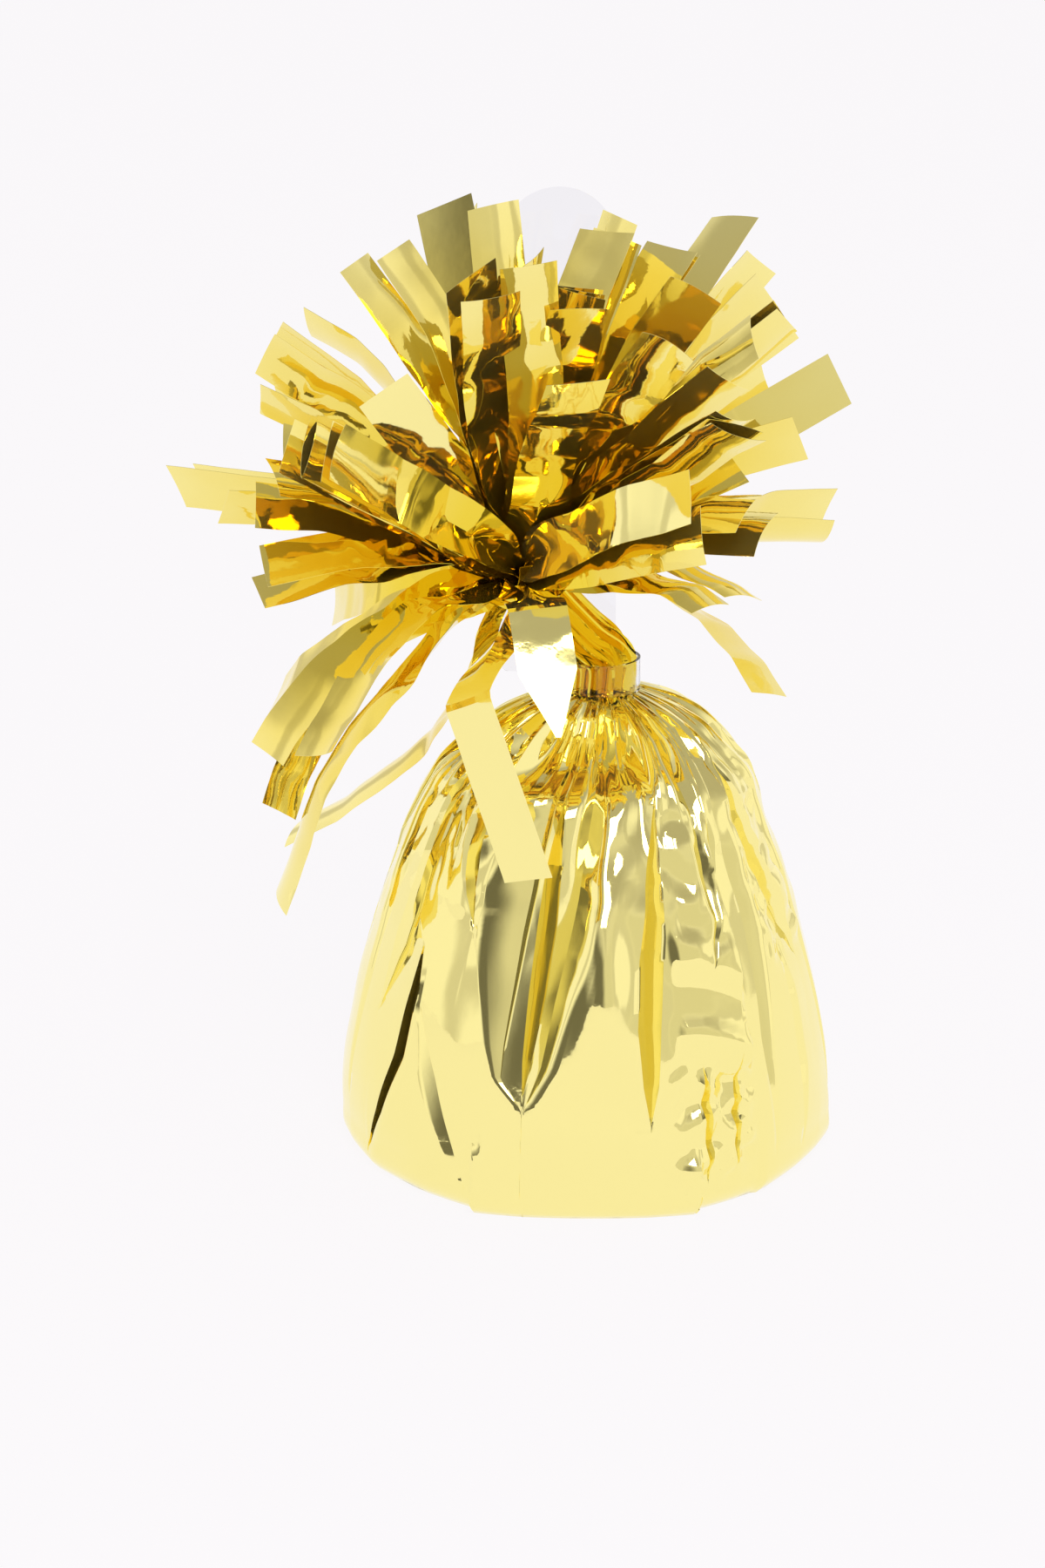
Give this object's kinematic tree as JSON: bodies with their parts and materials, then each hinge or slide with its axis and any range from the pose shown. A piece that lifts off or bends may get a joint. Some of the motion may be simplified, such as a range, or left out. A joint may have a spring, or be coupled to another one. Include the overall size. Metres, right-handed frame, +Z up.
{
  "type": "balloon weight",
  "caption": "Foil balloon weight: a cast plug in a pleated gold film wrap, gathered to a neck under a tuft of loose foil strips, with a clear tab for the ribbon.",
  "frame": {"origin": "middle of the flat base, on the surface that the weight stands on", "axes": "+Z up, -Y towards the front, where the stalk leans to, +X to the right"},
  "size_m": [0.0846, 0.0851, 0.12],
  "materials": {
    "gold_film": "metallised mirror gloss, finely crinkled",
    "clear_film": "clear, glossy",
    "cast_ballast": "cast, matt"
  },
  "bodies": {
    "root": {"back_leaves_1": "gold_film", "back_leaves_2": "gold_film", "back_leaves_3": "gold_film", "ballast_plug": "cast_ballast", "foil_wrap": "gold_film", "front_hanging_strip": "gold_film", "front_strip_1": "gold_film", "front_strip_2": "gold_film", "front_strip_3": "gold_film", "front_twisted_strip": "gold_film", "gathered_stalk": "gold_film", "left_leaves": "gold_film", "left_strip_1": "gold_film", "left_strip_2": "gold_film", "left_strip_3": "gold_film", "left_strip_4": "gold_film", "left_strip_5": "gold_film", "left_strip_6": "gold_film", "left_strip_7": "gold_film", "left_strip_8": "gold_film", "left_strip_9": "gold_film", "low_left_strip_1": "gold_film", "low_left_strip_2": "gold_film", "low_left_strip_3": "gold_film", "low_left_strip_4": "gold_film", "low_left_strip_5": "gold_film", "low_left_strip_6": "gold_film", "low_left_strip_7": "gold_film", "low_left_strip_8": "gold_film", "low_left_strip_9": "gold_film", "low_right_strip_1": "gold_film", "low_right_strip_2": "gold_film", "low_right_strip_3": "gold_film", "neck_band": "clear_film", "ribbon_tab": "clear_film", "right_leaves": "gold_film", "right_strip_1": "gold_film", "right_strip_10": "gold_film", "right_strip_11": "gold_film", "right_strip_12": "gold_film", "right_strip_2": "gold_film", "right_strip_3": "gold_film", "right_strip_4": "gold_film", "right_strip_5": "gold_film", "right_strip_6": "gold_film", "right_strip_7": "gold_film", "right_strip_8": "gold_film", "right_strip_9": "gold_film", "top_leaves": "gold_film", "top_strip_1": "gold_film", "top_strip_10": "gold_film", "top_strip_11": "gold_film", "top_strip_2": "gold_film", "top_strip_3": "gold_film", "top_strip_4": "gold_film", "top_strip_5": "gold_film", "top_strip_6": "gold_film", "top_strip_7": "gold_film", "top_strip_8": "gold_film", "top_strip_9": "gold_film"}
  },
  "joints": []
}
